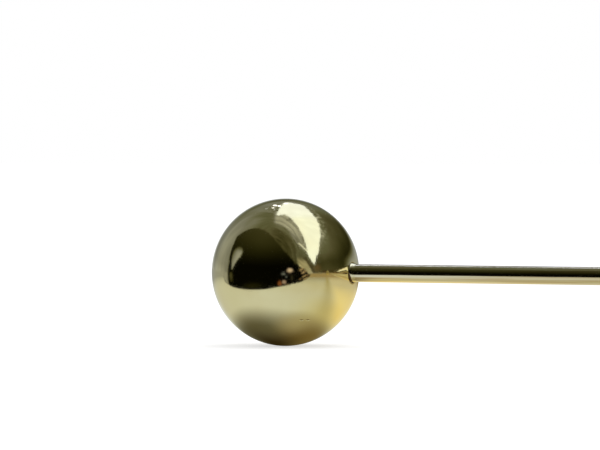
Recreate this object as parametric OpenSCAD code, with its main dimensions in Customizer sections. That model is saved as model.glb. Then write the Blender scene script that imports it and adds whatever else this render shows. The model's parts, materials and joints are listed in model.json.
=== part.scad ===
// Ball-headed tie tack with a locking guard on the point of its stem.
// Millimetres. +X runs along the stem, from the ball to the point, and +Z is up.
// The origin is where the stem's axis leaves the ball.

/* [Ball head] */
// Outside diameter of the hollow ball
ball_d = 10; // [8:0.5:14]
// Wall of each pressed half shell
shell_wall = 0.5; // [0.4:0.05:0.8]
// Length of the lip that centres one half shell in the other
lip_len = 0.6; // [0.4:0.1:1]
// Length of the turned bush inside the rear half shell
bush_len = 2.6; // [1.5:0.1:3]

/* [Stem] */
// Diameter of the wire
stem_d = 1.2; // [1:0.05:1.3]
// Length from the ball to the point
stem_len = 55; // [45:1:70]
// Length of the ground point
point_len = 5; // [3:0.5:7]
// Diameter of the tenon that is riveted over the bush
tenon_d = 0.8; // [0.6:0.05:0.9]
// Depth of each locking groove
groove_depth = 0.06; // [0.04:0.01:0.1]
// Distance between the two locking grooves
groove_pitch = 2.4; // [2.2:0.1:2.8]

/* [Guard] */
// Outside diameter of the barrel
barrel_d = 5.4; // [5.2:0.1:6.4]
// Outside diameter of the pull knob
knob_d = 5.8; // [5.4:0.1:7]
// Length of the barrel
barrel_len = 7.2; // [7.2:0.1:8]
// Travel of the pull knob, which draws the locking balls back along their cone
pull = 1; // [0.6:0.1:1]
// Diameter of each locking ball
lock_ball_d = 1; // [0.9:0.05:1]
// Half angle of the cone that wedges the locking balls
cone_angle = 15; // [12:1:18]
// Number of flutes round the knob's grip
flutes = 28; // [16:2:36]

/* [Hidden] */
$fn = 96;

eps = 0.01;             // overshoot of a cutting tool past the face that it opens
fit_gap = 0.02;         // running gap between a locking ball and what it touches

// Ball head
ball_r = ball_d / 2;
ball_x = -ball_r;       // centre of the ball
cavity_r = ball_r - shell_wall;
lip_r = cavity_r + shell_wall / 2;
braze_len = 0.2;        // width of the ring of braze behind the lip
braze_r = cavity_r - 0.2;

// Stem
stem_r = stem_d / 2;
tenon_r = tenon_d / 2;
seat_depth = 0.15;      // depth of the counterbore that the stem's shoulder sits in
bush_r = 1.4;
bush_end_x = -shell_wall - bush_len;
rivet_r = 0.65;
rivet_len = 0.45;
point_r = 0.04;         // radius left at the very point
point_round_len = 0.12;
groove_tool_r = 0.78;   // radius of the round-nosed tool that cuts a groove
solder_r = stem_r + 0.14;
solder_len = 0.1;

// Guard: distances from its front face
front_wall = 0.6;
barrel_r = barrel_d / 2;
barrel_bore_r = barrel_r - 0.4;
mouth_r = stem_r + 0.15;
mouth_flare = 0.35;     // depth and extra radius of the funnel that guides the point in
front_round = 0.3;
rear_bevel = 0.15;
crimp_len = 0.2;        // rolled edge that holds the rear collar
crimp_r = barrel_bore_r - 0.25;
collar_len = 0.5;
collar_at = barrel_len - crimp_len - collar_len;
lock_at = 1.9;          // plane of the locking balls
cone_end = lock_at + pull + 0.4;

// Locking balls, and the cone that they wedge in
lock_r = lock_ball_d / 2;
lock_orbit = stem_r + lock_r + fit_gap;
cone_slope = tan(cone_angle);
cone_r_at_lock = lock_orbit + (lock_r + fit_gap) / cos(cone_angle);
lock_angles = [90, 210, 330];

// Ball cage, which the knob pulls
cage_start = 1.15;
cage_r = 1.38;
cage_bore_r = stem_r + 0.18;
cage_hole_r = lock_r + 0.03;
flange_at = cone_end + 0.15;
flange_len = 0.5;
flange_r = barrel_bore_r - 0.15;
neck_r = 1.25;
neck_end = barrel_len + 1.7;

// Spring between the cage's flange and the rear collar
spring_wire_r = 0.15;
spring_r = 1.75;
spring_turns = 4;
spring_start = flange_at + flange_len;
spring_rings_per_turn = 20;
spring_sides = 8;

// Knob
knob_r = knob_d / 2;
knob_at = barrel_len + 0.2;
grip_len = 1.9;
knob_edge = 0.2;
flute_r = 0.2;
flute_depth = 0.09;
point_bore_r = stem_r + 0.2;
point_bore_end = neck_end + 1.5;

// The first groove lies just ahead of the guard, and the locking balls sit in the second
guard_x = stem_len - 5.7 - lock_at;
groove_2_x = guard_x + lock_at;
groove_1_x = groove_2_x - groove_pitch;

gold = "#cdb873";
steel = "#c4c6c8";
braze = "#b9a25a";

// Solid of revolution about the X axis, from points [radius, x]
module turned(points) {
    rotate([0, 90, 0]) rotate_extrude() polygon(points);
}

// Cylinder or cone along +X from x, len long
module rod(x, len, r, end_r = undef) {
    translate([x, 0, 0]) rotate([0, 90, 0]) cylinder(h = len, r1 = r, r2 = is_undef(end_r) ? r : end_r);
}

// Sphere of radius r about the centre of the ball head, with its poles on the stem's axis
module head_sphere(r) {
    translate([ball_x, 0, 0]) rotate([0, 90, 0]) sphere(r = r);
}

// Moves its children to the guard's front face
module on_guard() {
    translate([guard_x, 0, 0]) children();
}

// The part of a ball's wall with x between from and to
module ball_wall(from, to) {
    intersection() {
        difference() {
            head_sphere(ball_r);
            head_sphere(cavity_r);
        }
        rod(from, to - from, ball_r + 1);
    }
}

// Half shell on the side away from the stem, with the lip that centres the other one
module ball_front_shell() {
    color(gold) {
        ball_wall(ball_x - ball_r - 1, ball_x);
        difference() {
            rod(ball_x - eps, lip_len + eps, lip_r);
            rod(ball_x - 2 * eps, lip_len + 3 * eps, cavity_r);
        }
    }
}

// Half shell on the stem's side: recess for the lip, hole for the tenon, counterbore for the shoulder
module ball_rear_shell() {
    color(gold) difference() {
        ball_wall(ball_x, 1);
        rod(ball_x - eps, lip_len + eps, lip_r);
        rod(-1, 2, tenon_r);
        rod(-seat_depth, 1, stem_r);
    }
}

// Ring of braze in the corner between the lip's end and the rear shell
module seam_braze() {
    color(braze) intersection() {
        difference() {
            rod(ball_x + lip_len, braze_len, cavity_r);
            rod(ball_x + lip_len - eps, braze_len + 2 * eps, braze_r);
        }
        head_sphere(cavity_r);
    }
}

// Turned bush that stiffens the thin shell, shaped to the ball's inner wall
module stem_bush() {
    color(gold) difference() {
        intersection() {
            rod(bush_end_x, bush_len + shell_wall, bush_r);
            head_sphere(cavity_r);
        }
        rod(bush_end_x - eps, bush_len + 1, tenon_r);
    }
}

// Round groove about the stem at x
module groove(x) {
    translate([x, 0, 0]) rotate([0, 90, 0]) rotate_extrude()
        translate([stem_r - groove_depth + groove_tool_r, 0]) circle(r = groove_tool_r);
}

// Wire with a ground point, two locking grooves, a shoulder, and a tenon riveted over the bush
module stem() {
    color(gold) difference() {
        turned([
            [0, bush_end_x - rivet_len],
            [rivet_r - 0.2, bush_end_x - rivet_len],
            [rivet_r, bush_end_x - rivet_len / 2],
            [rivet_r, bush_end_x],
            [tenon_r, bush_end_x],
            [tenon_r, -seat_depth],
            [stem_r, -seat_depth],
            [stem_r, stem_len - point_len],
            [stem_r * 0.55, stem_len - point_len * 0.38],
            [point_r, stem_len - point_round_len / 4],
            [0, stem_len]
        ]);
        groove(groove_1_x);
        groove(groove_2_x);
    }
}

// Fillet of solder where the stem enters the ball
module stem_solder() {
    color(braze) difference() {
        turned([
            [stem_r, -solder_len],
            [solder_r, -solder_len],
            [solder_r, -solder_len / 3],
            [stem_r + solder_len / 2, solder_len / 5],
            [stem_r, solder_len]
        ]);
        head_sphere(ball_r);
    }
}

// Drawn cup with the mouth in its base, and a rolled rear edge
module guard_barrel() {
    color(gold) on_guard() difference() {
        turned([
            [0, 0],
            [barrel_r - front_round, 0],
            [barrel_r - front_round * 0.29, front_round * 0.29],
            [barrel_r, front_round],
            [barrel_r, barrel_len - rear_bevel],
            [barrel_r - rear_bevel, barrel_len],
            [0, barrel_len]
        ]);
        rod(-eps, front_wall + 1, mouth_r);
        rod(-eps, mouth_flare + eps, mouth_r + mouth_flare, mouth_r);
        rod(front_wall, barrel_len - front_wall - crimp_len, barrel_bore_r);
        rod(barrel_len - crimp_len - eps, crimp_len + 1, crimp_r);
    }
}

// Hardened sleeve pressed in the barrel: its bore narrows towards the mouth
module guard_cone() {
    front_r = cone_r_at_lock - (lock_at - front_wall) * cone_slope;
    rear_r = cone_r_at_lock + (cone_end - lock_at) * cone_slope;
    color(steel) on_guard() difference() {
        rod(front_wall, cone_end - front_wall, barrel_bore_r);
        rod(front_wall - eps, cone_end - front_wall + 2 * eps, front_r - eps * cone_slope, rear_r + eps * cone_slope);
    }
}

// Washer that the spring pushes on, held by the barrel's rolled edge
module guard_rear_collar() {
    color(gold) on_guard() difference() {
        rod(collar_at, collar_len, barrel_bore_r);
        rod(collar_at - 1, collar_len + 2, neck_r + 0.1);
    }
}

// Points of one ring of the spring's wire, at a share t of its length
function spring_ring(t) =
    let (
        run = collar_at - spring_start - 2 * spring_wire_r,
        turn = 360 * spring_turns * t,
        x = spring_start + spring_wire_r + run * t
    )
    [for (side = [0:spring_sides - 1])
        let (
            around = 360 * side / spring_sides,
            r = spring_r + spring_wire_r * cos(around)
        )
        [x + spring_wire_r * sin(around), r * cos(turn), r * sin(turn)]];

// Faces of a tube made of count rings
function tube_faces(count, sides) = concat(
    [[for (side = [0:sides - 1]) side]],
    [for (ring = [0:count - 2]) for (side = [0:sides - 1])
        let (next = (side + 1) % sides)
        [ring * sides + side, (ring + 1) * sides + side, (ring + 1) * sides + next, ring * sides + next]],
    [[for (side = [sides - 1:-1:0]) (count - 1) * sides + side]]
);

// Compression spring round the cage's neck
module guard_spring() {
    rings = round(spring_turns * spring_rings_per_turn) + 1;
    color(steel) on_guard() polyhedron(
        points = [for (ring = [0:rings - 1]) for (p = spring_ring(ring / (rings - 1))) p],
        faces = tube_faces(rings, spring_sides)
    );
}

// Tube with a hole for each locking ball, a flange for the spring, and a neck that carries the knob
module guard_ball_cage() {
    color(gold) on_guard() difference() {
        union() {
            rod(cage_start, flange_at - cage_start, cage_r);
            rod(flange_at, flange_len, flange_r);
            rod(flange_at + flange_len, neck_end - flange_at - flange_len, neck_r);
        }
        rod(cage_start - 1, neck_end + 1, cage_bore_r);
        for (a = lock_angles)
            translate([lock_at, 0, 0]) rotate([a - 90, 0, 0]) cylinder(h = cage_r + 1, r = cage_hole_r);
    }
}

// Straight flutes round the knob's grip
module knob_flutes() {
    for (i = [0:flutes - 1]) rotate([360 * i / flutes, 0, 0])
        translate([0, 0, knob_r + flute_r - flute_depth]) rod(knob_at - 1, grip_len + 1, flute_r);
}

// Bullet-shaped knob that covers the point, pressed on the cage's neck
module guard_knob() {
    color(gold) on_guard() difference() {
        union() {
            rod(knob_at, knob_edge, knob_r - knob_edge, knob_r);
            rod(knob_at + knob_edge, grip_len - knob_edge, knob_r);
            translate([knob_at + grip_len, 0, 0]) rotate([0, 90, 0]) sphere(r = knob_r);
        }
        knob_flutes();
        rod(knob_at - knob_r, knob_r, knob_r + 1);
        rod(knob_at - 1, neck_end - knob_at + 1, neck_r);
        rod(neck_end - eps, point_bore_end - neck_end + eps, point_bore_r);
    }
}

// One hardened ball between the stem and the cone
module lock_ball(i) {
    color(steel) on_guard() rotate([lock_angles[i] - 90, 0, 0]) translate([lock_at, 0, lock_orbit])
        sphere(r = lock_r);
}

ball_front_shell();
ball_rear_shell();
seam_braze();
stem_bush();
stem();
stem_solder();
guard_barrel();
guard_cone();
guard_rear_collar();
guard_spring();
guard_ball_cage();
guard_knob();
lock_ball(0);  // lock_ball_1
lock_ball(1);  // lock_ball_2
lock_ball(2);  // lock_ball_3
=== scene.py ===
"""Tie tack with a ball head and a locking guard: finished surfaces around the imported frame.

Lengths are in metres, and axes are the frame's own: +X runs along the stem from the ball to the point, and +Z
is up. Every piece is meshed here but the guard's cone, its cage and the locking balls, which keep their CAD
shapes and get a finish.
"""

import json
import math

import bmesh
import bpy
import numpy as np
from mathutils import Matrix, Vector, noise


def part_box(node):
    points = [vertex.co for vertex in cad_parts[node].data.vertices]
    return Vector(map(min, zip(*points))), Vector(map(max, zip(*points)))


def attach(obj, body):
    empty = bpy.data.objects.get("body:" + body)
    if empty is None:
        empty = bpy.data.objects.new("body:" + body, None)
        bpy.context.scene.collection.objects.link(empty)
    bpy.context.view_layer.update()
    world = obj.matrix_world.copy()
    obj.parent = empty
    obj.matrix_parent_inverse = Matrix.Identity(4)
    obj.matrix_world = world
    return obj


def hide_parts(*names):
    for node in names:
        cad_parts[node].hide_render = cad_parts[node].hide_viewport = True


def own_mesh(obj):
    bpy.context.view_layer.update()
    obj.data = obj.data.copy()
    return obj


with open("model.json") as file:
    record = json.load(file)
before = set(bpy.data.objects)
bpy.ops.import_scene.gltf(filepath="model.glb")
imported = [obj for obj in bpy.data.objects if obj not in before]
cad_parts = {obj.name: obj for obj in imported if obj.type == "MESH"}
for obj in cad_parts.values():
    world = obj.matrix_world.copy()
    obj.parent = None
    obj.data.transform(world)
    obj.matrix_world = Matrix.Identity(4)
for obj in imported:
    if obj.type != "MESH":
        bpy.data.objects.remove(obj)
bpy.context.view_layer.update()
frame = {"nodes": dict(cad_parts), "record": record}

MM = 0.001
AROUND = 192            # sides of a large turned piece
SLIM = 96               # sides of a slim one


# ---------------------------------------------------------------- places and sizes, from the frame

def ends(node):
    """Where a node starts and ends along the stem."""
    low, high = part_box(node)
    return low.x, high.x


def reach(node):
    """Largest radius of a node about the stem's axis."""
    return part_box(node)[1].z


def mount_radius(name):
    """Radius of a round mount in the record."""
    found = [mount for mount in frame["record"]["mounts"] if mount["name"] == name]
    return found[0]["dims"]["r_mm"] * MM


BALL_R = reach("ball_front_shell")
BALL_X = ends("ball_front_shell")[0] + BALL_R
BALL_CENTRE = Vector((BALL_X, 0, 0))
WALL = .5 * MM
CAVITY_R = BALL_R - WALL
LIP_END = ends("ball_front_shell")[1]
LIP_R = CAVITY_R + WALL / 2
STEM_R = mount_radius("stem")
TENON_R = .4 * MM
RIVET_END, POINT = ends("stem")
BUSH_END = ends("stem_bush")[0]
SEAT_X = -.15 * MM      # where the stem's shoulder sits in the rear half shell
BARREL, BARREL_END = ends("guard_barrel")
BARREL_R = reach("guard_barrel")
COLLAR, COLLAR_END = ends("guard_rear_collar")
COLLAR_R = reach("guard_rear_collar")
KNOB = ends("guard_knob")[0]
KNOB_R = reach("guard_knob")
NECK_END = ends("guard_ball_cage")[1]
NECK_R = 1.25 * MM
SPRING, SPRING_END = ends("guard_spring")
LOCK_X = sum(ends("lock_ball_1")) / 2


# ---------------------------------------------------------------- camera

AZIMUTH = math.radians(24)
ELEVATION = math.radians(1)
DISTANCE = .3
AIM_RIGHT = .98 * MM    # how far the camera looks past the ball's centre
AIM_UP = 3.2 * MM
RIGHT = Vector((math.cos(AZIMUTH), math.sin(AZIMUTH), 0))
BACK = Vector((
    math.sin(AZIMUTH) * math.cos(ELEVATION),
    -math.cos(AZIMUTH) * math.cos(ELEVATION),
    math.sin(ELEVATION),
))
UP = BACK.cross(RIGHT)
TOWARDS = Vector((math.sin(AZIMUTH), -math.cos(AZIMUTH), 0))    # level, towards the camera


def add_camera():
    """A long lens, aimed a little to the right of the ball and above it."""
    lens = bpy.data.cameras.new("camera")
    lens.sensor_width = 36
    lens.lens = 265.7
    lens.clip_start = .01
    camera = bpy.data.objects.new("camera", lens)
    bpy.context.scene.collection.objects.link(camera)
    camera.location = BALL_CENTRE + BACK * DISTANCE + RIGHT * AIM_RIGHT + UP * AIM_UP
    camera.rotation_mode = "QUATERNION"
    camera.rotation_quaternion = (-BACK).to_track_quat("-Z", "Y")
    bpy.context.scene.camera = camera


# ---------------------------------------------------------------- studio

# The studio is a dome and a table card that only reflections see. On the dome, directions are in degrees: az
# is 0 towards the camera and grows to the camera's right, and el is the height above the table. On the card,
# x and z are millimetres from the point under the ball, to the camera's right and towards the camera. Colours
# are linear. A level is a grey from 0 to 1. An outline is a few points with straight lines between them.

def smooth(low, high, x):
    """0 at low, 1 at high, and smooth between."""
    t = np.clip((x - low) / (high - low), 0, 1)
    return t * t * (3 - 2 * t)


def turn(a, b):
    """Difference of two directions, the short way round."""
    return (a - b + 180) % 360 - 180


def spot(az, el, at, size):
    """1 at the middle of a soft oval and 0 outside it, from the place of its middle and its half sizes.
    It serves the card too, where the same oval would come again 360 mm away, past the card's end."""
    return 1 - smooth(0, 1, np.hypot(turn(az, at[0]) / size[0], (el - at[1]) / size[1]))


def plain(like, colour):
    """One colour, as many times as like has places."""
    return np.zeros(like.shape + (3,)) + np.array(colour)


def mix(level, other, share):
    """level mixed with another level by share."""
    return level + (other - level) * share


def blend(rgb, colour, share):
    """rgb mixed with colour by share."""
    return rgb + (np.asarray(colour, float) - rgb) * np.asarray(share)[..., None]


def outline(x, points):
    """Height of an outline at x."""
    places, heights = zip(*points)
    return np.interp(x, places, heights)


def mottle(az, el, wide, tall, seed):
    """Soft noise from 0 to 1, with lumps that many degrees wide and tall."""
    count = round(360 / wide)
    grid = np.random.default_rng(seed).random((round(180 / tall) + 2, count))
    u = (az + 180) / 360 * count
    v = (el + 90) / tall
    i = np.floor(u).astype(int)
    j = np.floor(v).astype(int)
    across = smooth(0, 1, u - i)
    below_it = mix(grid[j, i % count], grid[j, (i + 1) % count], across)
    above_it = mix(grid[j + 1, i % count], grid[j + 1, (i + 1) % count], across)
    return mix(below_it, above_it, smooth(0, 1, v - j))


def grey(level):
    """Colour of a level: bluish when it is light and olive when it is dark."""
    green = level * np.where(level > .1, 1.07, 1)
    blue = level * np.clip(.22 + 4.4 * level, .25, 1.12)
    return np.stack((level, green, blue), -1)


def room(az, el):
    """Left and rear walls, light near the table at the rear, under a ceiling that is dark at its edge."""
    level = .19 + .10 * spot(az, el, (-130, 14), (32, 42)) + .38 * spot(az, el, (-178, 2), (24, 17))
    level = level - .04 * spot(az, el, (-151, 26), (9, 40))
    level = mix(level, .07, .9 * spot(az, el, (-177, 24), (26, 11)))
    dark_ends = spot(az, el, (-162, 24), (12, 13)) + spot(az, el, (156, 17), (12, 9))
    level = mix(level, .10, .6 * dark_ends)
    level = level + .11 * smooth(7, -1, el) * smooth(-100, -125, az)
    ceiling = .11 + .08 * spot(az, el, (-118, 52), (24, 20))
    beside_window = smooth(-175, -150, az) * (az < -150)
    level = mix(level, ceiling, smooth(38, 62, el) * (1 - beside_window))
    overhead = .28 + .10 * smooth(50, 140, np.abs(turn(az, -60)))
    level = mix(level, overhead, smooth(75, 83, el))
    return level * (.9 + .2 * mottle(az, el, 4, 9, 3))


def on_ball(az, el):
    """Where the ball mirrors a direction to the camera: right of its middle and above it, in ball radii."""
    flat = np.cos(np.radians(el))
    size = np.sqrt(np.maximum(2 + 2 * flat * np.cos(np.radians(az)), 1e-4))
    return flat * np.sin(np.radians(az)) / size, np.sin(np.radians(el)) / size


# The panel is drawn where the ball mirrors it, round PANEL_CENTRE. Its outlines go by the height above that
# centre. PANEL_EDGE is its outer edge's distance in ball radii. The other distances are shares of that one.
PANEL_CENTRE = (-.2, .25)
PANEL_EDGE = [(-.2, .56), (0, .482), (.14, .467), (.25, .464), (.35, .485), (.43, .495), (.48, .504),
              (.55, .52)]
LIGHT_BAND = [(.03, 1.0), (.08, .87), (.14, .82), (.22, .80), (.30, .83), (.40, .85), (.55, .89)]
LIGHT_BAND_LEVEL = [(.08, .20), (.22, .25), (.34, .35)]
BEAM = [(.04, 1.04), (.15, .885)]
BEAM_LEVEL = .85
PANEL_LEVEL = [(.5, .055), (.70, .075), (.80, .11), (.86, .13), (1.1, .13)]     # by distance


def brushed_panel(level, az, el):
    """Curved panel between the dark flag and the skylight, lighter in streaks towards the skylight."""
    across, up = on_ball(az, el)
    p = across - PANEL_CENTRE[0]
    q = up - PANEL_CENTRE[1]
    out = np.hypot(p, q) / outline(q, PANEL_EDGE)
    tone = outline(out, PANEL_LEVEL)
    in_band = smooth(-.03, .04, out - outline(q, LIGHT_BAND)) * smooth(.03, .08, p)
    in_band = in_band * smooth(1.13, 1.08, out + .09 * smooth(.30, .2, q))
    tone = mix(tone, outline(q, LIGHT_BAND_LEVEL), in_band)
    bend = np.degrees(np.arctan2(q, p)) / 2
    streaks = .5 * mottle(out * 300, bend, 3.6, 7, 5) + .5 * mottle(out * 300, bend, 9, 20, 6)
    low_edge = smooth(.12, -.06, q) * smooth(.7, .85, out)
    tone = tone * (.3 + 1.4 * streaks) * (1 - .35 * low_edge)
    in_beam = smooth(.032, .012, np.abs(out - outline(q, BEAM))) * smooth(.03, .05, q) * smooth(.17, .14, q)
    tone = mix(tone, BEAM_LEVEL, in_beam)
    share = smooth(-.04, .10, p) * smooth(-.24, -.16, q) * smooth(1.2, 1.12, out)
    return mix(level, tone, share)


WALL_BY_EL = [(0, .04), (6, .03), (14, .026), (24, .052), (34, .07), (44, .10), (55, .16)]
WALL_BY_AZ = [(50, 1.25), (66, 1.45), (90, 1.1), (118, .72), (150, .8)]


def right_wall(level, az, el):
    """Dark wall under the skylight, darkest near the table, with a light foot towards the rear."""
    shade = outline(el, WALL_BY_EL) * outline(az, WALL_BY_AZ)
    shade = shade * (1.3 - .45 * spot(az, el, (122, 12), (50, 24))) * (.90 + .2 * mottle(az, el, 7, 5, 8))
    rear_edge = smooth(150, 180, az + .3 * (el - 20))
    level = mix(level, shade, smooth(44, 50, az) * (1 - rear_edge))
    return mix(level, .34, smooth(14, 3, el) * smooth(102, 131, az))


FLAG_TOP = [(-114, 34), (-110.5, 42), (-106, 48), (-99, 54), (-88, 59), (-68, 62), (-48, 61), (-30, 56),
            (-11, 43), (4, 30), (15, 17), (29, 7), (41, -2)]
FLAG_LEFT = [(-25, -103), (9, -101.6), (20, -105.5), (28, -109), (34, -114), (48, -107)]
FLAG_RIGHT = 60
FLAG_LEVEL = [(-25, .002), (10, .002), (20, .006), (30, .015), (45, .033), (62, .045)]
LAMP_AZ = -90.5
LAMP_HALF_WIDTH = [(2, 1.5), (6, 2.6), (11, 5.5), (16, 9), (20, 11.5), (24, 11.5), (28, 8), (31, 2)]


def dark_flag(level, az, el):
    """Large dark flag in front and to the left, with its peak at the left."""
    share = smooth(-1.2, 1.2, outline(az, FLAG_TOP) - el) * smooth(-1.5, 1.5, az - outline(el, FLAG_LEFT))
    shade = outline(el, FLAG_LEVEL) * (1 - .45 * smooth(-60, 10, az))
    shade = shade + .012 * spot(az, el, (-55, -18), (25, 7))
    return mix(level, shade, share * (az < FLAG_RIGHT))


def lamp_in_flag(level, az, el):
    """Leaning bell-shaped lamp in the dark flag, brighter at its right, with a dim foot below it."""
    lean = .2 * (el - 14)
    across = np.abs(az - LAMP_AZ - lean) / outline(el, LAMP_HALF_WIDTH)
    bell = smooth(1.05, .6, across) * smooth(2, 5, el) * smooth(31, 22, el)
    level = mix(level, .06 + .26 * smooth(-104, -85, az - lean), bell)
    foot = smooth(-99, -97, az) * smooth(-90.5, -92.5, az) * smooth(-11, -6, el) * smooth(1, -2, el)
    return mix(level, .06, foot)


STRIP_LEFT = [(-2, 36.5), (3.3, 33.4), (7.4, 28.8), (9.5, 22.5), (18, 19)]
STRIP_RIGHT = [(0, 43), (3.2, 41.4), (9.9, 38), (16.7, 34.4), (22, 28.4)]
BAR_SLOPE = .5
WARM_BARS = (
    ((25, 5.8), (.42, .32, .20)),
    ((29, 1.6), (.50, .38, .26)),
    ((29, -4.6), (.34, .26, .16)),
    ((31.5, -8.2), (.34, .27, .16)),
)
SMALL_SPOTS = (
    ((7, 4.5), (6, 4.5), (.66, .54, .50)),
    ((-3, -1), (4.5, 3), (.16, .18, .22)),
    ((1.5, -5.5), (2, 2.5), (.12, .14, .17)),
    ((-9, -16), (4.5, 6), (.22, .08, .03)),
    ((-2, -13.5), (4.5, 4), (.42, .32, .31)),
    ((3.5, -19), (5, 3), (.34, .25, .14)),
    ((34.5, -3), (2.6, 1.6), (.20, .13, .07)),
    ((23, -9), (2.4, 1.6), (.20, .13, .07)),
    ((10, -7), (3, 6), (.03, .028, .02)),
)


def leaning_strip(rgb, az, el):
    """Pale streaked strip that leans over the table's near edge, with a dark gap at its right."""
    right = outline(el, STRIP_RIGHT)
    strip = smooth(-1, 1.5, az - outline(el, STRIP_LEFT)) * smooth(-1, 1, right - az)
    strip = strip * smooth(-2.5, 0, el) * smooth(27, 12, el)
    streaks = mottle(az + 1.1 * el, el, 2.2, 16, 7)
    rgb = blend(rgb, (.66, .62, .46), strip * (.2 + .8 * streaks))
    gap = smooth(-.5, 1, az - right) * smooth(7, 4.5, az - right) * smooth(-1.5, .5, el) * smooth(26, 20, el)
    return blend(rgb, (.055, .046, .022), .9 * gap)


def small_things(rgb, az, el):
    """Small warm bars and spots on the table's near edge."""
    rgb = blend(rgb, (.13, .09, .045), .8 * spot(az, el, (51, 7), (10, 9)))
    for at, colour in WARM_BARS:
        off = el - at[1] - BAR_SLOPE * (az - at[0])
        rgb = blend(rgb, colour, smooth(1.6, .5, np.abs(off)) * smooth(4.6, 2.6, np.abs(az - at[0])))
    for at, size, colour in SMALL_SPOTS:
        rgb = blend(rgb, colour, spot(az, el, at, size) ** .6)
    return rgb


SKY = (1.07, 1.19, 1.40)
REAR_SKY = (1.07, 1.20, 1.56)
WINDOW_LOW = [(36, 28), (40.5, 21), (47, 11.5), (51, 20), (56, 25), (62, 31), (70, 38.5), (78, 43.8),
              (90, 47.6), (102, 51), (116, 52.7), (136, 51.8), (150, 49.2), (160, 45.4), (166, 40),
              (180, 36.5)]
WINDOW_HIGH = [(38.5, 30), (40, 38), (43, 50), (47, 60), (50, 67), (60, 73.5), (72, 79), (88, 81.5),
               (110, 82.5), (150, 81.5), (180, 78.5)]
WINDOW_LEFT = [(14, 45.2), (18, 42.6), (22, 40.4), (30, 38.2), (40, 39.8)]
# The window goes on past the back, where az starts again at -180, up to this end.
WINDOW_END = [(36, -180), (43, -178), (50, -175), (58, -171), (65, -165), (70, -156), (74, -146)]
SPARKLES = (
    ((-170.5, 45.8), (2.6, 5), 2.8),
    ((-180, 41.5), (3, 4), 1.9),
    ((-165, 52.2), (2.6, 3), 1.9),
    ((-173.3, 49.8), (2.4, 4), 3.2),
    ((-163, 58), (3, 2), .7),
    ((-160, 48), (2.5, 2), .7),
)


def window_share(az, el, low):
    """1 in the skylight and 0 outside it, with a broken edge. low is its lower edge."""
    rough = 2.4 * (mottle(az, el, 3, 3, 11) - .5)
    share = smooth(-.8, .8, az - outline(el, WINDOW_LEFT)) * smooth(-.8, .8, el - low + rough)
    share = share * smooth(-1.2, 1.2, outline(az, WINDOW_HIGH) - el + .5 * rough)
    end = (az < -150) * smooth(1, -1, az - outline(el, WINDOW_END) + .4 * rough)
    end = end * smooth(-1, 1, el - 38) * smooth(1.5, -1.5, el - 76)
    return np.maximum(share, end)


def skylight(rgb, az, el):
    """Bright window in the ceiling, from a point at the right to the back, with pale specks below it."""
    low = outline(az, WINDOW_LOW)
    sky = blend(plain(az, SKY), REAR_SKY, smooth(115, 150, np.abs(az)))
    sky = sky * (.94 + .1 * mottle(az, el, 9, 9, 14))[..., None]
    rgb = rgb + (sky - rgb) * window_share(az, el, low)[..., None]
    near = (1 - smooth(1, 12, low - el)) * (el < low) * smooth(72, 95, az) * smooth(178, 140, az)
    rgb = blend(rgb, (.80, .86, .94), .72 * smooth(.62, .80, mottle(az, el, 1.9, 1.9, 12)) * near)
    for at, size, light in SPARKLES:
        share = smooth(.2, .6, spot(az, el, at, size) * (.6 + .8 * mottle(az, el, 2, 2, 13)))
        rgb = blend(rgb, (light, 1.08 * light, 1.5 * light), share)
    return rgb


def below(rgb, az, el):
    """What is under the horizon past the table card: grey at the left and the back, brown at the right."""
    far = blend(plain(az, (.32, .34, .35)), (.30, .25, .16), smooth(50, 80, az) * smooth(160, 135, az))
    far = blend(far, (.52, .54, .55), smooth(135, 170, np.abs(az)))
    past_card = np.maximum(smooth(-101, -107, az), smooth(40, 46, az))
    return blend(rgb, far, smooth(1, -2, el) * past_card)


def studio(az, el):
    """Colour of the dome in each direction, painted from back to front."""
    level = room(az, el)
    level = brushed_panel(level, az, el)
    level = right_wall(level, az, el)
    level = dark_flag(level, az, el)
    level = lamp_in_flag(level, az, el)
    rgb = leaning_strip(grey(level), az, el)
    rgb = small_things(rgb, az, el)
    # A dark brown band just above the horizon at the right.
    dark_horizon_band = smooth(-2, 0, el) * smooth(4.5, 1.5, el) * smooth(56, 64, az) * smooth(120, 108, az)
    rgb = blend(rgb, (.05, .03, .012), dark_horizon_band)
    rgb = skylight(rgb, az, el)
    return below(rgb, az, el)


# z of the card's near edge by x. Its ends are far outside what the ball and the stem mirror.
SHEET_EDGE = [(-900, -330), (-60, -22), (-30, -6.2), (-24, -1.4), (-18, 2.8), (-13, 7.6), (-9, 10.9),
              (-6, 13.1), (-3, 15.9), (0, 17.7), (3, 19.8), (5, 20.7), (8, 22.2), (12, 24.8), (18, 30.6),
              (26, 39), (900, 1044)]
STEM_SHADOW_Z = .45     # z of the line under the stem's shadow, for each millimetre of x
STEM_SHADOW = [(0, 0), (4, .35), (9, .45), (13, .52), (18, .7), (26, .85)]


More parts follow.
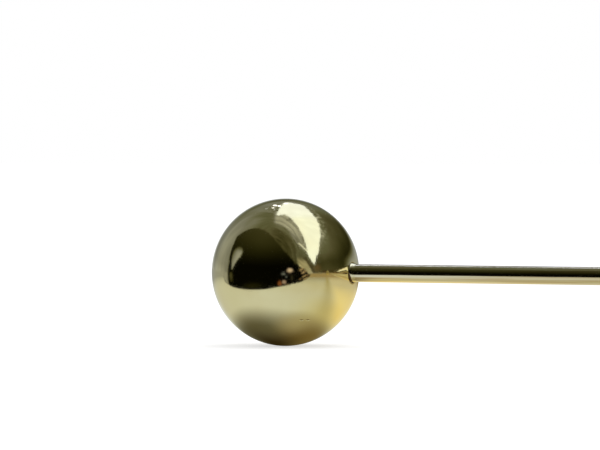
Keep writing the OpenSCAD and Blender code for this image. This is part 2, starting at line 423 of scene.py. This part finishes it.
def ball_shadow(rgb, x, z):
    """Painted shadow of the ball: longer to the rear, lighter in front, with a nearly black middle, and warm
    at its right from painted light that the gold throws into it.
    """
    flatten = np.where(z < 1, .6 - .25 * smooth(0, 3, x), 1.1)
    # Painted light: the shadow turns browner to the right, where the gold throws light into it.
    patch = blend(plain(x, (.11, .105, .07)), (.13, .095, .04), smooth(-1.5, 1, x))
    rgb = blend(rgb, patch, 1 - smooth(2.1, 6.2, np.hypot(x + 1.1, flatten * (z - 1))))
    rgb = blend(rgb, (.38, .36, .26), .8 * spot(x, z, (1.2, 3.9), (3.2, 2.2)))
    rgb = blend(rgb, (.028, .019, .005), 1 - smooth(.2, 2.8, np.hypot((x + .5) / 1.2, 1.25 * (z - .85))))
    # Painted light: a warm brown spot where the gold's light falls into the shadow's right side.
    rgb = blend(rgb, (.17, .13, .05), .85 * spot(x, z, (2, .6), (2.6, 3.8)))
    # Painted light: less blue round the shadow's right side, from light thrown off the gold.
    gold_bounce_tint = .34 * spot(x, z, (4.5, 2), (6, 8))[..., None] * np.array([0, .22, 1])
    return rgb * (1 - gold_bounce_tint)


def table(x, z):
    """Colour of the table card: pale, with painted yellow light thrown off the gold at the right behind the
    stem's shadow, and a painted shadow under the ball.
    """
    far = np.hypot(x, z)
    off = z - STEM_SHADOW_Z * x
    rgb = blend(plain(x, (.60, .63, .61)), (.64, .69, .72), spot(x, z, (-4, 8), (12, 8)))
    rgb = blend(rgb, (.58, .58, .49), smooth(3, 14, x))
    rgb = blend(rgb, (.40, .41, .37), smooth(13, 42, far) * smooth(4, 14, x))
    # Painted light: the yellow glow that the gold throws onto the table at the right, behind the stem's
    # shadow.
    thrown_gold_light = blend(plain(x, (.88, .78, .46)), (.60, .57, .45), smooth(7, 22, x))
    rgb = blend(rgb, thrown_gold_light, smooth(2.5, 6, x) * smooth(1.5, -4.5, off))
    rgb = blend(rgb, (.79, .80, .68), .8 * spot(x, z, (1, -19), (13, 18)))
    rgb = blend(rgb, (.72, .77, .83), spot(x, z, (-6, -14), (6, 12)))
    rgb = blend(rgb, (.40, .36, .18), np.exp(-((off - 1) / 1.9) ** 2) * outline(x, STEM_SHADOW))
    rgb = ball_shadow(rgb, x, z)
    rgb = blend(rgb, (.33, .35, .36), smooth(16, 80, far) * smooth(-8, -28, x))
    rgb = blend(rgb, (.33, .26, .14), smooth(24, 66, far) * smooth(6, 20, x))
    return blend(rgb, (.01, .01, .005), smooth(1.3, 0, outline(x, SHEET_EDGE) - z))


def glow_material():
    """Light of a mesh's own glow colours, seen in reflections only."""
    material = bpy.data.materials.new("studio_glow")
    material.use_nodes = True
    material.cycles.emission_sampling = "NONE"
    tree = material.node_tree
    tree.nodes.clear()
    colour = add_node(tree, "ShaderNodeAttribute", attribute_name="glow")
    light = add_node(tree, "ShaderNodeEmission", {"Color": colour.outputs["Color"]})
    add_node(tree, "ShaderNodeOutputMaterial", {"Surface": light.outputs[0]})
    return material


def add_glow(name, points, rgb, closed, material):
    """A glowing grid that only reflections see. A closed one joins its last column to its first."""
    rows, columns = rgb.shape[:2]
    corner = np.arange(rows * columns).reshape(rows, columns)
    beside = np.roll(corner, -1, axis=1)
    faces = np.stack((corner[:-1], beside[:-1], beside[1:], corner[1:]), -1)
    if not closed:
        faces = faces[:, :-1]
    mesh = bpy.data.meshes.new(name)
    mesh.from_pydata(points.reshape(-1, 3).tolist(), [], faces.reshape(-1, 4).tolist())
    glow = mesh.color_attributes.new("glow", "FLOAT_COLOR", "POINT")
    rgba = np.concatenate((rgb, np.ones((rows, columns, 1))), -1)
    glow.data.foreach_set("color", rgba.astype(np.float32).ravel())
    mesh.materials.append(material)
    thing = bpy.data.objects.new(name, mesh)
    bpy.context.scene.collection.objects.link(thing)
    thing.visible_camera = False
    thing.visible_diffuse = False
    thing.visible_shadow = False
    thing.visible_transmission = False


DOME_R = 3
# Places on the card in millimetres, in stretches of start, end and step, closer together near the ball.
CARD_COLUMNS = ((-340, -40, 8), (-40, -14, 1.5), (-14, 30, .4), (30, 60, 1.5), (60, 340, 8))
CARD_ROWS = ((0, 3, .3), (3, 34, .5), (34, 70, 1.5), (70, 340, 8))


def add_dome(material):
    """The dome, in steps of 0.4 degrees. Its last column would be its first one again, and is left out."""
    el, world_az = np.mgrid[-90:90:451j, 0:360:901j][:, :, :900]
    flat = np.cos(np.radians(el))
    along = flat * np.cos(np.radians(world_az))
    aside = flat * np.sin(np.radians(world_az))
    way = np.stack((along, aside, np.sin(np.radians(el))), -1)
    az = np.degrees(np.arctan2(way @ np.array(RIGHT), way @ np.array(TOWARDS)))
    add_glow("studio_dome", way * DOME_R + np.array(BALL_CENTRE), studio(az, el), True, material)


def add_table_card(material):
    """The table card just under the ball. Its rows go back from its near edge."""
    columns = np.concatenate([np.arange(*stretch) for stretch in CARD_COLUMNS])
    rows = np.concatenate([np.arange(*stretch) for stretch in CARD_ROWS])
    x, depth = np.meshgrid(columns, rows)
    z = outline(x, SHEET_EDGE) - depth
    under = np.array(BALL_CENTRE) - np.array((0, 0, BALL_R + .01 * MM))
    points = under + (x[..., None] * np.array(RIGHT) + z[..., None] * np.array(TOWARDS)) * MM
    add_glow("table_card", points, table(x, z), False, material)


def add_floor():
    """Plain pale floor that the ball rests on. Reflections see the table card in its place."""
    half = 3
    mesh = bpy.data.meshes.new("floor")
    corners = [(BALL_X + x * half, y * half, -BALL_R) for x, y in ((-1, -1), (1, -1), (1, 1), (-1, 1))]
    mesh.from_pydata(corners, [], [(0, 1, 2, 3)])
    material = bpy.data.materials.new("floor_paper")
    material.use_nodes = True
    shader = material.node_tree.nodes["Principled BSDF"]
    shader.inputs["Base Color"].default_value = (.4, .4, .4, 1)
    shader.inputs["Roughness"].default_value = .9
    shader.inputs["Specular IOR Level"].default_value = 0
    shader.inputs["Emission Color"].default_value = (1, 1, 1, 1)
    shader.inputs["Emission Strength"].default_value = .64
    mesh.materials.append(material)
    floor = bpy.data.objects.new("floor", mesh)
    bpy.context.scene.collection.objects.link(floor)
    floor.visible_glossy = False


def add_lights():
    """Even white surroundings and one large soft light from above."""
    world = bpy.data.worlds.new("surroundings")
    bpy.context.scene.world = world
    world.use_nodes = True
    world.node_tree.nodes["Background"].inputs["Color"].default_value = (1, 1, 1, 1)
    lamp = bpy.data.lights.new("soft_light", "AREA")
    lamp.shape = "DISK"
    lamp.size = .6
    lamp.energy = 2
    light = bpy.data.objects.new("soft_light", lamp)
    bpy.context.scene.collection.objects.link(light)
    light.location = BALL_CENTRE + Vector((.1, .15, .7))
    light.rotation_mode = "QUATERNION"
    light.rotation_quaternion = (BALL_CENTRE - light.location).to_track_quat("-Z", "Y")
    light.visible_glossy = False
    bpy.context.scene.view_settings.view_transform = "Standard"


# ---------------------------------------------------------------- materials

def add_node(tree, kind, inputs=None, **settings):
    """A new shader node. inputs maps a socket's name or number to a value, or to another node's output."""
    made = tree.nodes.new(kind)
    for name, value in settings.items():
        setattr(made, name, value)
    for name, value in (inputs or {}).items():
        if isinstance(value, bpy.types.NodeSocket):
            tree.links.new(value, made.inputs[name])
        else:
            made.inputs[name].default_value = value
    return made


class Finish:
    """A metal, built up node by node on one Principled shader. Places are in millimetres."""

    def __init__(self, name):
        self.material = bpy.data.materials.new(name)
        self.material.use_nodes = True
        self.tree = self.material.node_tree
        self.shader = self.tree.nodes["Principled BSDF"]
        self.shader.inputs["Metallic"].default_value = 1
        place = self.node("ShaderNodeTexCoord").outputs["Object"]
        scaled = self.node("ShaderNodeVectorMath", {0: place, "Scale": 1 / MM}, operation="SCALE")
        self.place = scaled.outputs[0]
        self.bump = None

    def node(self, kind, inputs=None, **settings):
        """A new node in this material."""
        return add_node(self.tree, kind, inputs, **settings)

    def plus(self, one, other):
        """Sum of two values."""
        return self.node("ShaderNodeMath", {0: one, 1: other}, operation="ADD").outputs[0]

    def grain(self, lines, detail=2, shift=(0, 0, 0)):
        """Noise with that many lumps per millimetre along each axis."""
        inputs = {0: self.place, 1: lines, 2: shift}
        moved = self.node("ShaderNodeVectorMath", inputs, operation="MULTIPLY_ADD").outputs[0]
        return self.node("ShaderNodeTexNoise", {"Vector": moved, "Scale": 1, "Detail": detail}).outputs[0]

    def stretch(self, value, low, high, to_low=0, to_high=1):
        """value from low..high to to_low..to_high, smooth at both ends."""
        inputs = {"Value": value, "From Min": low, "From Max": high, "To Min": to_low, "To Max": to_high}
        return self.node("ShaderNodeMapRange", inputs, interpolation_type="SMOOTHSTEP").outputs[0]

    def colour(self, light, dark, share):
        """Colour between two, by share."""
        mixed = self.node("ShaderNodeMix", {"Factor": share}, data_type="RGBA")
        mixed.inputs["A"].default_value = (*light, 1)
        mixed.inputs["B"].default_value = (*dark, 1)
        self.tree.links.new(mixed.outputs["Result"], self.shader.inputs["Base Color"])

    def gloss(self, value, least, most):
        """Roughness that follows a value from 0 to 1."""
        self.tree.links.new(self.stretch(value, 0, 1, least, most), self.shader.inputs["Roughness"])

    def relief(self, height, depth):
        """Adds relief, with depth in metres, on top of what there is."""
        inputs = {"Height": height, "Distance": depth}
        if self.bump:
            inputs["Normal"] = self.bump
        self.bump = self.node("ShaderNodeBump", inputs).outputs[0]

    def finished(self):
        """The material, with its relief joined up."""
        if self.bump:
            self.tree.links.new(self.bump, self.shader.inputs["Normal"])
        return self.material


GOLD = (.90, .80, .45)
GOLD_DEEP = (.84, .71, .37)
PALE_GOLD = (.92, .84, .60)
PALE_GOLD_DEEP = (.80, .66, .42)
PITS = ((.499, -.595, -.617), (.564, -.534, -.617))     # directions from the ball's centre
PIT_DEPTH = .04 * MM
PIT_FLOOR = .04         # radius of a pit's flat floor, in millimetres like a finish's places
PIT_RIM = .17
PIT_SQUASH = (1, 1, 2.6)


def add_pit(made, way):
    """A tiny pit in the ball, wider than it is high, in a direction from the ball's centre."""
    at = (BALL_CENTRE + Vector(way).normalized() * BALL_R) / MM
    away = made.node("ShaderNodeVectorMath", {0: made.place, 1: at}, operation="SUBTRACT").outputs[0]
    flat = made.node("ShaderNodeVectorMath", {0: away, 1: PIT_SQUASH}, operation="MULTIPLY").outputs[0]
    apart = made.node("ShaderNodeVectorMath", {0: flat}, operation="LENGTH").outputs["Value"]
    made.relief(made.stretch(apart, PIT_FLOOR, PIT_RIM), PIT_DEPTH)


def polished_gold():
    """Mirror polish with faint hand-polishing lines, specks, soft unevenness and two tiny pits low down."""
    made = Finish("polished_gold")
    cloud = made.grain((.5, .5, .5))
    made.colour(GOLD, GOLD_DEEP, made.stretch(cloud, .35, .75, 0, .5))
    made.gloss(made.grain((2, 2, 2)), .05, .11)
    for lines, shift in (((.5, 7, 7), (0, 0, 0)), ((6, .6, 5), (9, 4, 2)), ((5, 6, .5), (3, 8, 6))):
        scratch = made.stretch(made.grain(lines, 3, shift), .60, .72)
        made.relief(scratch, 4.5e-7)
    made.relief(made.stretch(made.grain((8, 8, 8), 1, (5, 1, 7)), .66, .78), 8e-7)
    made.relief(made.grain((1.1, 1.1, 1.1), 1), 6e-7)
    for way in PITS:
        add_pit(made, way)
    return made.finished()


def drawn_gold():
    """Polished wire with faint lines along it."""
    made = Finish("stem_gold")
    made.colour(PALE_GOLD, PALE_GOLD_DEEP, made.stretch(made.grain((.12, 7, 7), 3), .42, .62))
    made.gloss(made.grain((.2, 18, 18)), .07, .16)
    made.relief(made.grain((.15, 14, 14)), 6e-7)
    made.relief(made.grain((.3, 6, 6), 2, (7, 3, 1)), 1.6e-6)
    made.relief(made.grain((.9, 1.2, 1.2), 1), 2e-6)
    return made.finished()


def turned_gold():
    """Polished turned gold with faint rings."""
    made = Finish("guard_gold")
    made.colour(GOLD, GOLD_DEEP, made.stretch(made.grain((.8, .8, .8)), .35, .75, 0, .6))
    made.gloss(made.grain((25, 1, 1)), .09, .2)
    made.relief(made.grain((30, .6, .6)), 4e-7)
    return made.finished()


def dark_joint():
    """Tarnish and old polish in the crevice round the stem."""
    made = Finish("joint_tarnish")
    made.colour((.16, .10, .05), (.06, .035, .018), made.grain((6, 6, 6)))
    made.gloss(made.grain((12, 12, 12)), .35, .7)
    made.relief(made.grain((20, 20, 20)), 4e-6)
    return made.finished()


def solder_metal():
    """Satin solder, a little darkened."""
    made = Finish("solder_metal")
    made.colour((.52, .42, .22), (.22, .16, .07), made.stretch(made.grain((4, 4, 4)), .3, .7))
    made.gloss(made.grain((8, 8, 8)), .2, .5)
    made.relief(made.grain((6, 6, 6)), 6e-6)
    return made.finished()


def fillet_gold():
    """Solder that was gilded with the stem. It is dark in the hole, and low down painted shade, as of a
    shadowed groove, carries the dark a little past it.
    """
    made = Finish("fillet_gold")
    place = made.node("ShaderNodeSeparateXYZ", {0: made.place}).outputs
    ragged = made.stretch(made.grain((5, 5, 5)), .3, .7, -.008, .008)
    # Painted shade: the dark reaches further along the stem on its lower side, where the groove lies in
    # shadow.
    painted_shade_low = made.stretch(place["Z"], .12, -.3, 0, -.105)
    along = made.plus(made.plus(place["X"], ragged), painted_shade_low)
    made.colour((.88, .79, .50), (.12, .07, .03), made.stretch(along, -.03, -.055))
    made.gloss(made.grain((8, 8, 8)), .10, .22)
    made.relief(made.grain((5, 5, 5)), 2e-6)
    return made.finished()


def brass_inside():
    """Turned brass without plating."""
    made = Finish("brass_inside")
    made.colour((.72, .55, .24), (.50, .36, .14), made.grain((1.5, 1.5, 1.5)))
    made.gloss(made.grain((20, 1, 1)), .22, .42)
    made.relief(made.grain((24, .6, .6)), 2e-6)
    return made.finished()


def hard_steel():
    """Ground hardened steel."""
    made = Finish("hard_steel")
    made.colour((.60, .61, .63), (.42, .43, .46), made.grain((2, 2, 2)))
    made.gloss(made.grain((6, 6, 6)), .12, .3)
    made.relief(made.grain((18, 18, 18)), 6e-7)
    return made.finished()


def spring_steel():
    """Drawn spring wire."""
    made = Finish("spring_steel")
    made.colour((.50, .51, .53), (.30, .30, .31), made.grain((3, 3, 3)))
    made.gloss(made.grain((10, 10, 10)), .2, .4)
    made.relief(made.grain((14, 14, 14)), 1e-6)
    return made.finished()


# ---------------------------------------------------------------- turned pieces

def arc(x, r, size, start, end, steps):
    """Points (x, radius) on an arc about (x, r). 0 degrees points along +X and 90 outwards."""
    angles = [math.radians(start + (end - start) * i / steps) for i in range(steps + 1)]
    return [(x + size * math.cos(a), r + size * math.sin(a)) for a in angles]


def between(start, end, steps):
    """Numbers in even steps from start to end, without start."""
    return [start + (end - start) * i / steps for i in range(1, steps + 1)]


def line(start, end, steps):
    """Points on a straight line, without its first one."""
    return list(zip(between(start[0], end[0], steps), between(start[1], end[1], steps)))


def turned(points, around, ring=False, shape=None):
    """Turns an outline of points (x, radius) about the stem's axis. A ring's outline is joined end to start.
    shape(x, radius, angle) gives the radius where the piece isn't quite round, and angle 0 is up."""
    on_axis = 1e-6 * MM
    bm = bmesh.new()
    rows = []
    for x, r in points:
        if r < on_axis:
            rows.append([bm.verts.new((x, 0, 0))])
            continue
        row = []
        for i in range(around):
            angle = math.tau * i / around
            far = shape(x, r, angle) if shape else r
            row.append(bm.verts.new((x, far * math.sin(angle), far * math.cos(angle))))
        rows.append(row)
    pairs = list(zip(rows, rows[1:]))
    if ring:
        pairs.append((rows[-1], rows[0]))
    for one, other in pairs:
        for i in range(around):
            j = (i + 1) % around
            corners = [one[i % len(one)], one[j % len(one)], other[j % len(other)], other[i % len(other)]]
            bm.faces.new(list(dict.fromkeys(corners)))
    bmesh.ops.recalc_face_normals(bm, faces=bm.faces)
    return bm


def add_piece(name, bm, material, body, nodes):
    """Makes a mesh a piece of the object: gives it its finish, hangs it on the body it rides on, and hides
    the CAD nodes it stands for.
    """
    mesh = bpy.data.meshes.new(name)
    bm.to_mesh(mesh)
    bm.free()
    mesh.shade_smooth()
    mesh.set_sharp_from_angle(angle=math.radians(32))
    mesh.materials.append(material)
    piece = bpy.data.objects.new(name, mesh)
    bpy.context.scene.collection.objects.link(piece)
    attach(piece, body)
    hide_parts(*nodes)
    return piece


def true_sphere_normals(piece):
    """Gives faces on the ball's outside the exact sphere's normals, so that no facet or seam shows."""
    mesh = piece.data
    touching = 1e-4 * MM
    normals = [Vector(corner.vector) for corner in mesh.corner_normals]
    for face in mesh.polygons:
        spokes = [mesh.vertices[v].co - BALL_CENTRE for v in face.vertices]
        if all(abs(spoke.length - BALL_R) < touching for spoke in spokes):
            for loop, spoke in zip(face.loop_indices, spokes):
                normals[loop] = spoke.normalized()
    mesh.normals_split_custom_set(normals)


# ---------------------------------------------------------------- the ball

def ball_face(r):
    """x of the ball's outside on the stem's side, at a radius from the axis."""
    return BALL_X + math.sqrt(BALL_R ** 2 - r ** 2)


def front_half(gold):
    """Half shell away from the stem, with its centring lip."""
    outside = arc(BALL_X, 0, BALL_R, 180, 90, 90)
    lip = [(BALL_X, LIP_R), (LIP_END, LIP_R), (LIP_END, CAVITY_R)]
    inside = arc(BALL_X, 0, CAVITY_R, 90, 180, 60)
    bm = turned(outside + lip + inside, AROUND)
    true_sphere_normals(add_piece("front_half_shell", bm, gold, "pin", ["ball_front_shell"]))


def rear_half(gold, tarnish):
    """Half shell on the stem's side, drawn in a little where the stem was soldered in its hole."""
    dish_r = .78 * MM
    dish = .01 * MM
    mouth_r = .69 * MM
    tarnish_r = .688 * MM
    hole_r = .655 * MM
    recess_r = math.sqrt(CAVITY_R ** 2 - (LIP_END - BALL_X) ** 2)
    outside = arc(BALL_X, 0, BALL_R, 90, math.degrees(math.asin(dish_r / BALL_R)), 84)
    pulled = []
    for i in range(1, 11):
        r = dish_r + (mouth_r - dish_r) * i / 10
        pulled.append((ball_face(r) - dish * float(smooth(0, 1, i / 10)), r))
    edge_x = pulled[-1][0]
    hole = [
        (edge_x - .003 * MM, .68 * MM),
        (edge_x - .01 * MM, .667 * MM),
        (edge_x - .025 * MM, hole_r),
        (SEAT_X, hole_r),
    ]
    tenon_hole = [(SEAT_X, TENON_R), (BALL_X + math.sqrt(CAVITY_R ** 2 - TENON_R ** 2), TENON_R)]
    start = math.degrees(math.asin(TENON_R / CAVITY_R))
    end = math.degrees(math.asin(recess_r / CAVITY_R))
    inside = arc(BALL_X, 0, CAVITY_R, start, end, 60)[1:]
    recess = [(LIP_END, LIP_R), (BALL_X, LIP_R)]
    bm = turned(outside + pulled + hole + tenon_hole + inside + recess, AROUND, ring=True)
    piece = add_piece("rear_half_shell", bm, gold, "pin", ["ball_rear_shell"])
    piece.data.materials.append(tarnish)
    for face in piece.data.polygons:
        r = math.hypot(face.center.y, face.center.z)
        if STEM_R < r < tarnish_r and face.center.x > -WALL:
            face.material_index = 1
    true_sphere_normals(piece)


def braze_ring(solder):
    """Uneven ring of braze behind the lip."""
    start, end = ends("seam_braze")
    middle = (start + end) / 2
    low = CAVITY_R - .2 * MM
    wave = .05 * MM

    def uneven(x, r, angle):
        if r > low + .1 * MM:
            return r
        return r + wave * (1 + noise.noise(Vector((3 * math.cos(angle), 3 * math.sin(angle), x / MM))))

    points = [(x, math.sqrt(CAVITY_R ** 2 - (x - BALL_X) ** 2)) for x in (start, middle, end)]
    points += [(end - .03 * MM, low + .05 * MM), (middle, low), (start, low)]
    ring = turned(points, AROUND, ring=True, shape=uneven)
    add_piece("braze_ring", ring, solder, "pin", ["seam_braze"])


def inner_bush(brass):
    """Turned bush behind the stem's hole, with broken edges."""
    bush_r = reach("stem_bush")
    edge = .08 * MM
    start = math.degrees(math.asin(bush_r / CAVITY_R))
    end = math.degrees(math.asin(TENON_R / CAVITY_R))
    points = [(BUSH_END, TENON_R), (BUSH_END, bush_r - edge), (BUSH_END + edge, bush_r)]
    points += arc(BALL_X, 0, CAVITY_R, start, end, 12)
    add_piece("inner_bush", turned(points, SLIM, ring=True), brass, "pin", ["stem_bush"])


# ---------------------------------------------------------------- the stem

POINT_LEN = 5 * MM
TIP_R = .04 * MM
GROOVES = (LOCK_X - 2.4 * MM, LOCK_X)
GROOVE_DEPTH = .06 * MM
GROOVE_TOOL_R = .78 * MM
GROOVE_HALF = math.sqrt(GROOVE_TOOL_R ** 2 - (GROOVE_TOOL_R - GROOVE_DEPTH) ** 2)


def stem_radius(x):
    """Radius of the wire at x: plain, then two round grooves, then the ground point."""
    for groove in GROOVES:
        if abs(x - groove) < GROOVE_HALF:
            return STEM_R - GROOVE_DEPTH + GROOVE_TOOL_R - math.sqrt(GROOVE_TOOL_R ** 2 - (x - groove) ** 2)
    share = (x - (POINT - POINT_LEN)) / POINT_LEN
    if share <= 0:
        return STEM_R
    return TIP_R + (STEM_R - TIP_R) * (1 - share ** 1.67)


def pin_wire(gold):
    """Wire with its riveted tenon, shoulder, locking grooves and ground point."""
    rivet_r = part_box("stem")[1].z
    rivet_round = .25 * MM
    edge = .02 * MM
    points = [(RIVET_END, 0)]
    points += arc(RIVET_END + rivet_round, rivet_r - rivet_round, rivet_round, 180, 90, 8)
    points += [(BUSH_END, rivet_r), (BUSH_END, TENON_R), (SEAT_X, TENON_R)]
    points += [(SEAT_X, STEM_R - edge), (SEAT_X + edge, STEM_R)]
    stops = [SEAT_X + edge]
    for groove in GROOVES:
        stops += [groove - GROOVE_HALF, groove + GROOVE_HALF]
    stops += [POINT - POINT_LEN, POINT - TIP_R / 2]
    counts = [60, 14, 4, 14, 2, 60]
    for start, end, count in zip(stops, stops[1:], counts):
        points += [(x, stem_radius(x)) for x in between(start, end, count)]
    points += [(POINT - TIP_R / 5, TIP_R * .6), (POINT, 0)]
    add_piece("pin_wire", turned(points, SLIM), gold, "pin", ["stem"])


def solder_fillet(fillet):
    """Ring of solder in the ball's hole, drawn out along the stem in a thin flare that is thicker on top."""
    seat = ends("stem_solder")[0]
    root_r = STEM_R + .03 * MM
    low = -.055 * MM
    flare = .45 * MM
    thick = .062 * MM
    steps = 18

    def uneven(x, r, angle):
        wave = noise.noise(Vector((1.3 * math.cos(angle), 1.3 * math.sin(angle), 4)))
        top = float(smooth(-.5, 1, math.cos(angle)))
        return STEM_R + (r - STEM_R) * (.40 + .12 * wave + 1.57 * top)

    points = [(seat, STEM_R), (seat, root_r), (low - .01 * MM, root_r), (low, STEM_R + thick)]
    for x, share in zip(between(low, flare, steps), between(0, 1, steps)):
        points.append((x, STEM_R + thick * (1 - share) ** 3.3 - .001 * MM * share))
    ring = turned(points, AROUND, ring=True, shape=uneven)
    add_piece("solder_fillet", ring, fillet, "pin", ["stem_solder"])


# ---------------------------------------------------------------- the guard

def scribed(x, r, depth, half):
    """Outline of a fine turned line at x."""
    side = half * .4
    side_r = r - depth * .75
    return [(x - half, r), (x - side, side_r), (x, r - depth), (x + side, side_r), (x + half, r)]


def barrel_cup(gold):
    """Drawn cup with a bell mouth for the point, round front edge, two turned lines and rolled rear edge."""
    mouth_r = STEM_R + .15 * MM
    bell = .35 * MM
    front = .3 * MM
    rear = .2 * MM
    lip = .1 * MM
    floor_x = BARREL + .6 * MM
    bore_r = COLLAR_R
    crimp_r = bore_r - .25 * MM
    points = arc(BARREL + bell, mouth_r + bell, bell, 270, 180, 12)
    points += arc(BARREL + front, BARREL_R - front, front, 180, 90, 14)
    for x in (BARREL + .85 * MM, BARREL + 1.05 * MM):
        points += scribed(x, BARREL_R, .03 * MM, .05 * MM)
    points += arc(BARREL_END - rear, BARREL_R - rear, rear, 90, 0, 10)
    points += arc(BARREL_END - lip, crimp_r + lip, lip, 0, -90, 6)
    points += [(COLLAR_END, crimp_r), (COLLAR_END, bore_r), (floor_x, bore_r), (floor_x, mouth_r)]
    add_piece("barrel_cup", turned(points, AROUND, ring=True), gold, "guard", ["guard_barrel"])


def spring_washer(gold):
    """Washer behind the spring, with broken edges."""
    inner = NECK_R + .1 * MM
    edge = .06 * MM
    points = [
        (COLLAR, inner + edge),
        (COLLAR, COLLAR_R - edge),
        (COLLAR + edge, COLLAR_R),
        (COLLAR_END - edge, COLLAR_R),
        (COLLAR_END, COLLAR_R - edge),
        (COLLAR_END, inner + edge),
        (COLLAR_END - edge, inner),
        (COLLAR + edge, inner),
    ]
    ring = turned(points, SLIM, ring=True)
    add_piece("spring_washer", ring, gold, "guard", ["guard_rear_collar"])


FLUTES = 28
FLUTE_R = .2 * MM
FLUTE_DEPTH = .09 * MM


def pull_knob(gold):
    """Closed bullet-shaped knob with a fluted grip and a turned line behind the flutes."""
    grip_end = KNOB + 1.9 * MM
    grip_low = KNOB_R - .4 * MM
    flutes_end = grip_end - .12 * MM
    fade = .25 * MM
    edge = .15 * MM
    bore_r = STEM_R + .2 * MM
    bore_end = NECK_END + 1.5 * MM

    def fluted(x, r, angle):
        if r < grip_low or x > grip_end:
            return r
        offset = ((angle * FLUTES / math.tau + .5) % 1 - .5) * math.tau / FLUTES * KNOB_R
        cut = math.sqrt(max(FLUTE_R ** 2 - offset ** 2, 0)) - (FLUTE_R - FLUTE_DEPTH)
        return r - max(cut, 0) * float(smooth(0, fade, flutes_end - x))

    points = arc(grip_end, 0, KNOB_R, 0, 88, 72)
    points += scribed(grip_end, KNOB_R, .05 * MM, .07 * MM)[::-1]
    points += line((grip_end - .09 * MM, KNOB_R), (KNOB + edge, KNOB_R), 26)
    points += arc(KNOB + edge, KNOB_R - edge, edge, 90, 180, 8)[1:]
    points += line((KNOB, KNOB_R - edge), (KNOB, NECK_R), 4)
    points += [(NECK_END, NECK_R), (NECK_END, bore_r), (bore_end, bore_r), (bore_end, 0)]
    knob = turned(points, FLUTES * 16, shape=fluted)
    add_piece("pull_knob", knob, gold, "plunger", ["guard_knob"])


def spring_mesh():
    """Round wire wound from the cage's flange to the washer, with closed ends."""
    wire = .15 * MM
    size = reach("guard_spring") - wire
    length = SPRING_END - SPRING - 2 * wire
    turns = 4.5
    closed = .75
    steps = 270
    sides = 14
    bm = bmesh.new()
    rings = []
    for i in range(steps + 1):
        done = turns * i / steps
        share = min(max((done - closed / 2) / (turns - closed), 0), 1)
        angle = math.tau * done
        out = Vector((0, math.sin(angle), math.cos(angle)))
        middle = Vector((SPRING + wire + length * share, 0, 0)) + out * size
        ring = []
        for side in range(sides):
            about = math.tau * side / sides
            along = Vector((wire * math.sin(about), 0, 0))
            ring.append(bm.verts.new(middle + out * wire * math.cos(about) + along))
        rings.append(ring)
    for one, other in zip(rings, rings[1:]):
        for side in range(sides):
            after = (side + 1) % sides
            bm.faces.new((one[side], one[after], other[after], other[side]))
    bm.faces.new(rings[0])
    bm.faces.new(rings[-1])
    bmesh.ops.recalc_face_normals(bm, faces=bm.faces)
    return bm


def coil_spring(steel):
    """Compression spring between the cage's flange and the washer, on a mesh of its own."""
    piece = add_piece("coil_spring", spring_mesh(), steel, "spring", ["guard_spring"])
    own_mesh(piece)


def finish_nodes(material, *nodes):
    """Gives CAD nodes whose shape is right their finish."""
    for name in nodes:
        node = frame["nodes"][name]
        node.data.materials.clear()
        node.data.materials.append(material)


# ---------------------------------------------------------------- build

add_camera()
glow = glow_material()
add_dome(glow)
add_table_card(glow)
add_floor()
add_lights()

ball_gold = polished_gold()
wire_gold = drawn_gold()
guard_gold = turned_gold()
tarnish = dark_joint()
solder = solder_metal()
brass = brass_inside()
steel = hard_steel()

front_half(ball_gold)
rear_half(ball_gold, tarnish)
braze_ring(solder)
inner_bush(brass)
pin_wire(wire_gold)
solder_fillet(fillet_gold())
barrel_cup(guard_gold)
spring_washer(guard_gold)
pull_knob(guard_gold)
coil_spring(spring_steel())
finish_nodes(steel, "guard_cone", "lock_ball_1", "lock_ball_2", "lock_ball_3")
finish_nodes(brass, "guard_ball_cage")
